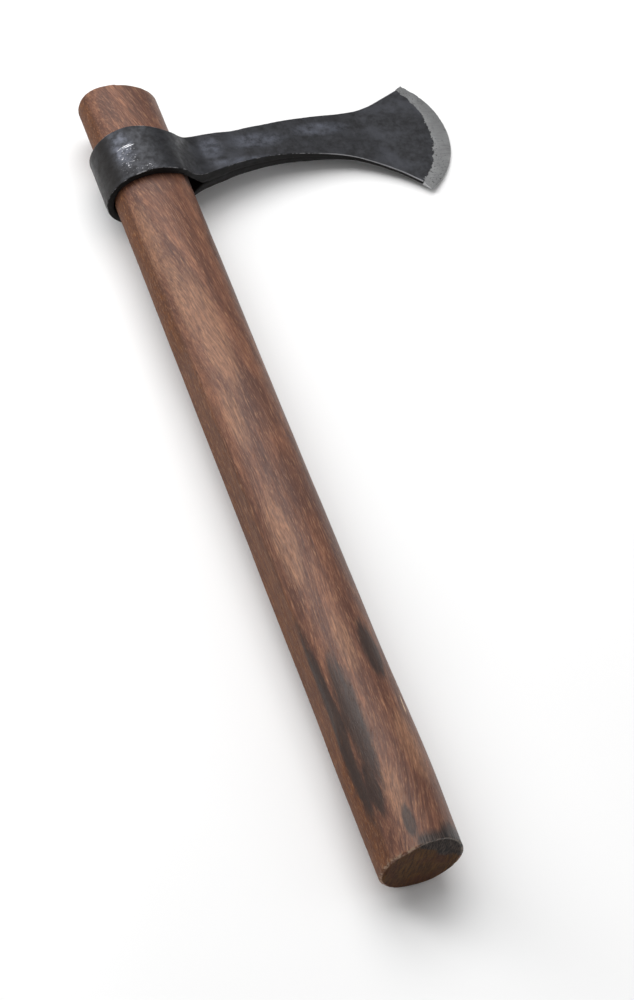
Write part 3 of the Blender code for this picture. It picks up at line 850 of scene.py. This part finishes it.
class HaftGrain:
    """The noises and places that the haft's colour, roughness and relief share."""

    def __init__(self, n):
        grain, parts = bent_grain(n)
        self.along = parts.outputs["Y"]
        self.broad = n.noise(grain, (8.0, 70.0, 8.0), 3.0)
        self.streak = n.noise(grain, (2.4, 30.0, 2.4), 4.0, 0.62)
        self.line = n.noise(grain, (0.8, 42.0, 0.8), 3.0, 0.6)
        self.dash = n.noise(grain, (0.85, 7.5, 0.85), 3.0, 0.6)
        self.fleck = n.noise(grain, (0.55, 4.2, 0.55), 2.0, 0.6)
        self.fibre = n.noise(grain, (0.38, 11.0, 0.38), 2.0, 0.6)
        self.pore = n.noise(grain, (0.42, 3.2, 0.42), 1.0, 0.5)
        self.ragged = n.minus(n.noise(grain, (2.4, 17.0, 2.4), 5.0, 0.68), 0.5)
        self.flat_side = n.ramp(parts.outputs["X"], -15.0, -16.6)
        # The top of the flat, just below the ridge, where painted shade goes
        self.ridge_shade_corner = n.times(self.flat_side, n.ramp(parts.outputs["Z"], 4.5, 8.5))
        self.end = n.attribute("end_grain")


def any_blob(n, places):
    """The highest of the blobs at these places."""
    reach = 0.0
    for centre, radii in places:
        reach = n.most(n.blob(centre, radii), reach)
    return reach


def patches(n, places, ragged, spread):
    """Blobs whose borders a noise round 0 makes ragged."""
    return n.ramp(n.plus(any_blob(n, places), n.times(ragged, spread)), 0.15, 0.95)


def skin_colour(n, grain, stain):
    """The oiled long grain, from its broad figure down to its fibres, then smoke and chips; with a painted
    highlight along the band right of the ridge, and painted shade on the flat side and along the ridge.
    """
    figure = n.plus(n.times(grain.streak, 0.50), n.times(grain.broad, 0.50))
    colour = n.mix(n.ramp(figure, 0.36, 0.66), WOOD_DARK, WOOD_MID)
    colour = n.mix(n.times(patches(n, DARK_PATCHES, grain.ragged, 1.3), 0.55), colour, PATCH_DARK)
    # Pale patches: paler wood, and a painted highlight along the band right of the ridge
    colour = n.mix(n.times(patches(n, PALE_AND_HIGHLIGHT_PATCHES, grain.ragged, 1.3), 0.50), colour, PATCH_PALE_AND_HIGHLIGHT)

    warm = n.times(grain.flat_side, n.ramp(grain.streak, 0.34, 0.60, 0.35, 1.0))
    # Painted shade along the ridge, streaked by the grain
    ridge_shade = n.times(grain.ridge_shade_corner, n.ramp(grain.streak, 0.62, 0.40, 0.15, 0.75))
    # The flat side darkened to brown is painted shade; the orange mixed in next is its own warm tone
    colour = n.mix(n.times(grain.flat_side, 0.80), colour, FLAT_SHADE_BROWN)
    colour = n.mix(n.times(warm, 0.60), colour, FLAT_ORANGE)
    colour = n.mix(ridge_shade, colour, RIDGE_SHADE_BROWN)

    colour = n.mix(n.ramp(grain.dash, 0.38, 0.60, 0.46, 0.0), colour, DASH_DARK)
    colour = n.mix(n.ramp(grain.dash, 0.55, 0.72, 0.0, 0.36), colour, DASH_PALE)
    colour = n.mix(n.ramp(grain.fleck, 0.56, 0.72, 0.0, 0.42), colour, FLECK_PALE)
    colour = n.mix(n.ramp(grain.fleck, 0.28, 0.46, 0.50, 0.0), colour, FLECK_DARK)
    colour = n.mix(n.ramp(grain.fibre, 0.30, 0.58, 0.46, 0.0), colour, FIBRE_DARK)
    colour = n.mix(n.ramp(grain.pore, 0.68, 0.80, 0.0, 0.28), colour, PORE_DARK)
    colour = n.mix(n.ramp(grain.line, 0.57, 0.68, 0.0, 0.50), colour, LINE_DARK)
    colour = n.mix(n.times(stain, 0.86), colour, SMOKE)

    below_ring = n.blob((17.0, -46.0, 6.0), (2.5, 7.0, 4.0))
    below_ring = n.times(below_ring, n.ramp(grain.dash, 0.58, 0.66, 0.0, 0.8))
    near_butt = n.blob((13.0, -297.0, 13.4), (1.0, 11.0, 2.5))
    near_butt = n.times(near_butt, n.ramp(grain.dash, 0.44, 0.56))
    return n.mix(n.most(below_ring, near_butt), colour, FRESH_CHIP)


def end_colours(n, grain, radial, colour):
    """colour, with the sawn ends, the burnt facet of the butt and the pale rims over it: worn wood, with a
    painted highlight along the rim's edge.
    """
    cloud = n.noise(n.place, (7.0, 9.0, 7.0), 3.0, 0.6)
    speck = n.noise(n.place, (0.45, 3.0, 0.45), 2.0)
    end_colour = n.mix(n.ramp(radial, 0.3, 0.7), END_DARK, END_OLIVE)
    end_colour = n.mix(n.ramp(cloud, 0.42, 0.66, 0.0, 0.6), end_colour, END_RED)
    end_colour = n.mix(n.ramp(speck, 0.58, 0.72, 0.0, 0.5), end_colour, END_SPECK)
    colour = n.mix(grain.end, colour, end_colour)

    across = (math.cos(BUTT_FACET_ANGLE), 0.0, math.sin(BUTT_FACET_ANGLE))
    past_facet = n.plus(n.vector("DOT_PRODUCT", n.place, across), n.times(n.minus(cloud, 0.5), 9.0))
    burnt = n.times(n.ramp(past_facet, 8.5, 10.5), n.ramp(grain.along, -357.0, -361.5))
    charred_lines = n.noise(n.place, (0.7, 30.0, 3.0), 3.0, 0.6)
    charred = n.mix(n.ramp(charred_lines, 0.40, 0.62), BURNT_DARK, BURNT_PALE)
    colour = n.mix(n.times(burnt, 0.92), colour, charred)

    # Pale rims: worn wood, and a painted highlight along the rim's edge, broken up, and less on the burnt
    # facet
    broken = n.ramp(n.noise(n.place, (2.0, 3.0, 2.0), 4.0, 0.7), 0.46, 0.60)
    rim = n.times(n.attribute("worn_rim"), broken)
    rim = n.times(rim, n.minus(1.0, n.times(burnt, 0.6)))
    return n.mix(n.times(rim, 0.85), colour, RIM_WEAR_AND_HIGHLIGHT)


def haft_material():
    """Oiled dark hardwood: streaks, short fibres, pores, smoke stains and browner end grain."""
    n = Nodes("oiled_hardwood")
    grain = HaftGrain(n)
    stain = patches(n, STAINS, grain.ragged, 1.5)
    radial = n.noise(n.place, (0.8, 9.0, 5.0), 4.0, 0.6)
    colour = end_colours(n, grain, radial, skin_colour(n, grain, stain))

    rough = n.plus(n.ramp(grain.fibre, 0.3, 0.7, 0.40, 0.50), n.times(n.ramp(grain.pore, 0.62, 0.7), 0.2))
    rough = n.plus(rough, n.times(grain.end, 0.4))
    rough = n.minus(rough, n.times(stain, 0.04))
    rough = n.plus(rough, n.times(grain.flat_side, 0.28))

    skin_bumps = n.noise(n.place, (0.7, 1.5, 0.7), 3.0, 0.6)
    height = n.minus(n.times(grain.fibre, 0.8), n.times(n.ramp(grain.pore, 0.64, 0.80), 0.2))
    height = n.plus(height, n.times(grain.dash, 0.9))
    height = n.plus(height, n.times(skin_bumps, 0.5))
    height = n.plus(height, n.times(n.times(grain.end, radial), 2.0))
    made = n.finish(colour, rough, 0.0, height, 0.11)
    n.shader.inputs["Specular IOR Level"].default_value = 0.32
    return made


def border_mask(n):
    """Past the ragged border of the grinding: 0 on the forged side, 1 on the ground side."""
    parts = n.add("ShaderNodeSeparateXYZ")
    n.feed(parts.inputs[0], n.place)
    centre = SHOULDER_CENTRE / MM
    flat = n.add("ShaderNodeCombineXYZ")
    n.feed(flat.inputs["X"], n.minus(parts.outputs["X"], float(centre[0])))
    n.feed(flat.inputs["Y"], n.minus(parts.outputs["Y"], float(centre[1])))
    radius = n.vector("LENGTH", flat.outputs[0])
    coarse = n.times(n.minus(n.noise(n.place, (3.2, 3.2, 9), 2.0), 0.5), 2.6)
    fine = n.times(n.minus(n.noise(n.place, (0.75, 0.75, 4), 2.0), 0.5), 2.4)
    reach = n.plus(radius, n.plus(coarse, fine))
    edge = SHOULDER_RADIUS / MM
    past = n.ramp(reach, edge - 0.05, edge + 0.40)
    on_blade = n.ramp(parts.outputs["X"], 118.0, 124.0)
    return n.times(past, on_blade), parts


# Places of the head worn bluish and brighter, the one on the ring's poll-side top also a painted
# highlight, or speckled bright: centre and radii, in millimetres
WEAR_AND_HIGHLIGHT_SPOTS = (
    ((58.0, 6.0, 4.0), (19.0, 5.5, 6.0)), ((-13.0, 3.0, 17.0), (7.0, 12.0, 7.0)),
    ((34.0, 4.0, 6.5), (8.0, 8.0, 5.0)), ((92.0, 9.0, 3.0), (20.0, 5.0, 4.0)),
    ((48.0, -5.0, 5.0), (26.0, 3.0, 4.0)), ((60.0, 6.0, -4.0), (26.0, 8.0, 5.0)),
    ((-12.0, 0.0, -18.0), (10.0, 10.0, 8.0)),
)
SPECKLED = (((-12.0, -4.0, 17.6), (6.5, 10.0, 6.0)), ((-6.0, -12.0, 20.3), (7.0, 3.0, 3.0)))


def scale_colour(n, x, mottle, cloud, side):
    """Black forge scale: mottled, worn bluish in places with a painted highlight on the ring's poll-side
    top, browner at the poll, and painted shade on the strap's sides and inner faces.
    """
    colour = n.mix(n.ramp(mottle, 0.30, 0.70), SCALE_DARK, SCALE_MID)
    colour = n.mix(n.ramp(cloud, 0.46, 0.70, 0.0, 0.55), colour, SCALE_PALE)
    # Worn bluish patches; the one on the ring's poll-side top is also a painted highlight
    scale_wear_and_highlight = n.times(any_blob(n, WEAR_AND_HIGHLIGHT_SPOTS), n.ramp(mottle, 0.28, 0.72, 0.15, 1.0))
    colour = n.mix(n.times(scale_wear_and_highlight, 0.62), colour, WEAR_AND_HIGHLIGHT_BLUE)
    colour = n.mix(n.times(n.ramp(x, -14.0, -19.5), 0.6), colour, POLL_BROWN)
    # The strap's sides and inner faces painted near black: painted shade
    return n.mix(n.times(side, 0.85), colour, SIDE_SHADE_BLACK)


def bare_metal(n, x, cloud, grit):
    """Where the scale is gone: the ring's scratch and speckles, and the strap's worn edges."""
    scratch = n.noise(n.place, (6.0, 0.42, 6.0), 2.0, 0.6, 0.3)
    scratch_at = n.ramp(n.blob((-11.4, 2.5, 17.8), (6.2, 0.95, 4.5)), 0.1, 0.5)
    scratched = n.times(scratch_at, n.ramp(scratch, 0.50, 0.60))
    grains = n.noise(n.place, (1.1, 0.6, 1.1), 2.0, 0.6)
    speckled = n.times(any_blob(n, SPECKLED), n.ramp(grains, 0.62, 0.70))
    specks = n.times(n.ramp(grit, 0.72, 0.80), n.ramp(cloud, 0.45, 0.65, 0.0, 0.5))
    edge = n.attribute("edge")
    broken = n.ramp(n.noise(n.place, (3.5, 3.5, 3.5), 4.0, 0.7), 0.44, 0.62)
    along_blade = n.times(edge, n.ramp(x, 80.0, 96.0, 0.0, 0.85))
    crest = n.most(n.times(n.times(edge, broken), 0.62), along_blade)
    return n.most(n.most(scratched, n.times(speckled, 0.8)), n.most(specks, crest), clamp=True)


def steel_colour(n, hone, pits):
    """Coarse-ground steel, with pits left in it."""
    cross = n.noise(n.place, (0.8, 5.0, 3.0), 3.0, 0.6)
    shade = n.noise(n.place, (7.0, 9.0, 5.0), 2.0)
    colour = n.mix(n.ramp(hone, 0.30, 0.70), STEEL_DARK, STEEL_PALE)
    colour = n.mix(n.ramp(cross, 0.50, 0.75, 0.0, 0.35), colour, STEEL_CROSSED)
    colour = n.mix(n.ramp(shade, 0.45, 0.70, 0.0, 0.45), colour, STEEL_BRIGHT)
    return n.mix(n.ramp(pits, 0.67, 0.72, 0.0, 0.85), colour, PIT_BLACK)


def metal(name):
    """Forged iron under black scale, and coarse-ground steel past the bevels' border."""
    n = Nodes(name)
    ground, parts = border_mask(n)
    x = parts.outputs["X"]
    cloud = n.noise(n.place, (14, 11, 14), 3.0, 0.55)
    mottle = n.noise(n.place, (3.4, 3.0, 3.4), 5.0, 0.65)
    grit = n.noise(n.place, (0.55, 0.55, 0.55), 3.0, 0.6)
    hone = n.noise(n.place, (9.0, 0.34, 5.0), 3.0, 0.6)
    pits = n.plus(n.noise(n.place, (0.75, 0.75, 0.75), 2.0, 0.5), n.ramp(x, 149.0, 143.0, 0.0, 0.06))
    side = n.attribute("side")
    bright = bare_metal(n, x, cloud, grit)
    scale = n.mix(bright, scale_colour(n, x, mottle, cloud, side), BARE_IRON)
    colour = n.mix(ground, scale, steel_colour(n, hone, pits))

    forged_rough = n.minus(n.ramp(mottle, 0.3, 0.7, 0.56, 0.42), n.times(bright, 0.10))
    forged_rough = n.plus(forged_rough, n.times(side, 0.2))
    rough = n.add("ShaderNodeMix", data_type="FLOAT")
    n.feed(rough.inputs[0], ground)
    n.feed(rough.inputs[2], forged_rough)
    n.feed(rough.inputs[3], n.ramp(hone, 0.3, 0.7, 0.32, 0.44))
    metallic = n.most(n.most(ground, bright), n.ramp(mottle, 0.3, 0.7, 0.75, 0.9))
    forged = n.times(n.plus(n.times(mottle, 1.1), n.times(grit, 0.45)), n.minus(1.0, ground))
    honed = n.times(n.minus(hone, n.ramp(pits, 0.64, 0.72)), n.times(ground, 0.3))
    return n.finish(colour, rough.outputs[0], metallic, n.plus(forged, honed), 0.08)


def wedge_wood_material():
    """Pale, dirty end grain."""
    n = Nodes("wedge_end_grain")
    lines = n.noise(n.place, (6.0, 30.0, 0.35), 3.0, 0.6)
    dirt = n.noise(n.place, (2.0, 4.0, 2.0), 4.0, 0.6)
    colour = n.mix(n.ramp(lines, 0.3, 0.7), WEDGE_BROWN, WEDGE_PALE)
    colour = n.mix(n.ramp(dirt, 0.48, 0.72, 0.0, 0.7), colour, WEDGE_DIRT)
    return n.finish(colour, n.ramp(lines, 0.3, 0.7, 0.62, 0.8), 0.0, lines, 0.12)


def wedge_iron_material():
    """Hammered iron, rusty in patches."""
    n = Nodes("wedge_iron")
    rust = n.noise(n.place, (1.6, 1.6, 1.6), 5.0, 0.65)
    dents = n.noise(n.place, (0.9, 0.9, 0.9), 3.0, 0.5)
    colour = n.mix(n.ramp(rust, 0.42, 0.66), IRON_GREY, RUST)
    rough = n.ramp(rust, 0.4, 0.65, 0.42, 0.75)
    metallic = n.ramp(rust, 0.45, 0.6, 0.9, 0.25)
    return n.finish(colour, rough, metallic, dents, 0.15)


def floor_material():
    n = Nodes("pale_floor")
    tone = n.noise(n.place, (160, 160, 160), 2.0)
    return n.finish(n.mix(n.ramp(tone, 0.3, 0.7), FLOOR_DARKER, FLOOR_PALER), 0.75)


# ---- the scene ----

def dress(made, look, node):
    made.data.materials.clear()
    made.data.materials.append(look)
    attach(made, "root")
    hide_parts(node)


def area_light(name, at, aim, size, watts, colour=(1.0, 1.0, 1.0)):
    """A square soft box at a place, aimed at another, both in the world."""
    lamp = bpy.data.lights.new(name, "AREA")
    lamp.shape = "RECTANGLE"
    lamp.size, lamp.size_y = size
    lamp.energy = watts
    lamp.color = colour
    made = bpy.data.objects.new(name, lamp)
    made.location = at
    made.rotation_euler = (Vector(aim) - Vector(at)).to_track_quat("-Z", "Y").to_euler()
    bpy.context.scene.collection.objects.link(made)


def make_studio():
    """A pale floor, an overhead soft box, a fill and an even bright surround."""
    size = 12.0
    mesh = bpy.data.meshes.new("floor")
    corners = [(-size, -size, 0.0), (size, -size, 0.0), (size, size, 0.0), (-size, size, 0.0)]
    mesh.from_pydata(corners, [], [(0, 1, 2, 3)])
    floor = bpy.data.objects.new("floor", mesh)
    floor.location.z = -0.0005
    bpy.context.scene.collection.objects.link(floor)
    mesh.materials.append(floor_material())
    area_light("overhead", (0.10, 0.70, 1.50), (0.0, -0.05, 0.0), (1.2, 1.5), 21.0)
    area_light("kicker", (-0.85, 0.72, 1.10), (0.0, -0.10, 0.0), (0.5, 1.3), 12.0)
    area_light("fill", (1.3, -0.5, 1.1), (0.0, 0.0, 0.0), (1.0, 1.0), 1.5)
    world = bpy.data.worlds.new("studio")
    world.use_nodes = True
    world.node_tree.nodes["Background"].inputs["Color"].default_value = (1.0, 1.0, 1.0, 1.0)
    world.node_tree.nodes["Background"].inputs["Strength"].default_value = 0.36
    bpy.context.scene.world = world
    bpy.context.scene.view_settings.view_transform = "Standard"


def make_camera():
    lens = bpy.data.cameras.new("camera")
    lens.lens = LENS_MM
    lens.sensor_width = SENSOR_MM
    lens.clip_start = 0.05
    camera = bpy.data.objects.new("camera", lens)
    back = CAMERA_RIGHT.cross(CAMERA_UP)
    turn = Matrix((CAMERA_RIGHT, CAMERA_UP, back)).transposed().to_4x4()
    camera.matrix_world = AXE @ Matrix.Translation(CAMERA_AT) @ turn
    bpy.context.scene.collection.objects.link(camera)
    bpy.context.scene.camera = camera


def main():
    make_camera()
    make_studio()
    wood_wedge, iron_wedge = make_wedges()
    dress(make_haft(), haft_material(), "haft")
    dress(make_strap(), metal("forge_scale"), "head_strap")
    dress(make_bit(), metal("ground_edge"), "steel_bit")
    dress(wood_wedge, wedge_wood_material(), "wood_wedge")
    dress(iron_wedge, wedge_iron_material(), "iron_cross_wedge")


main()
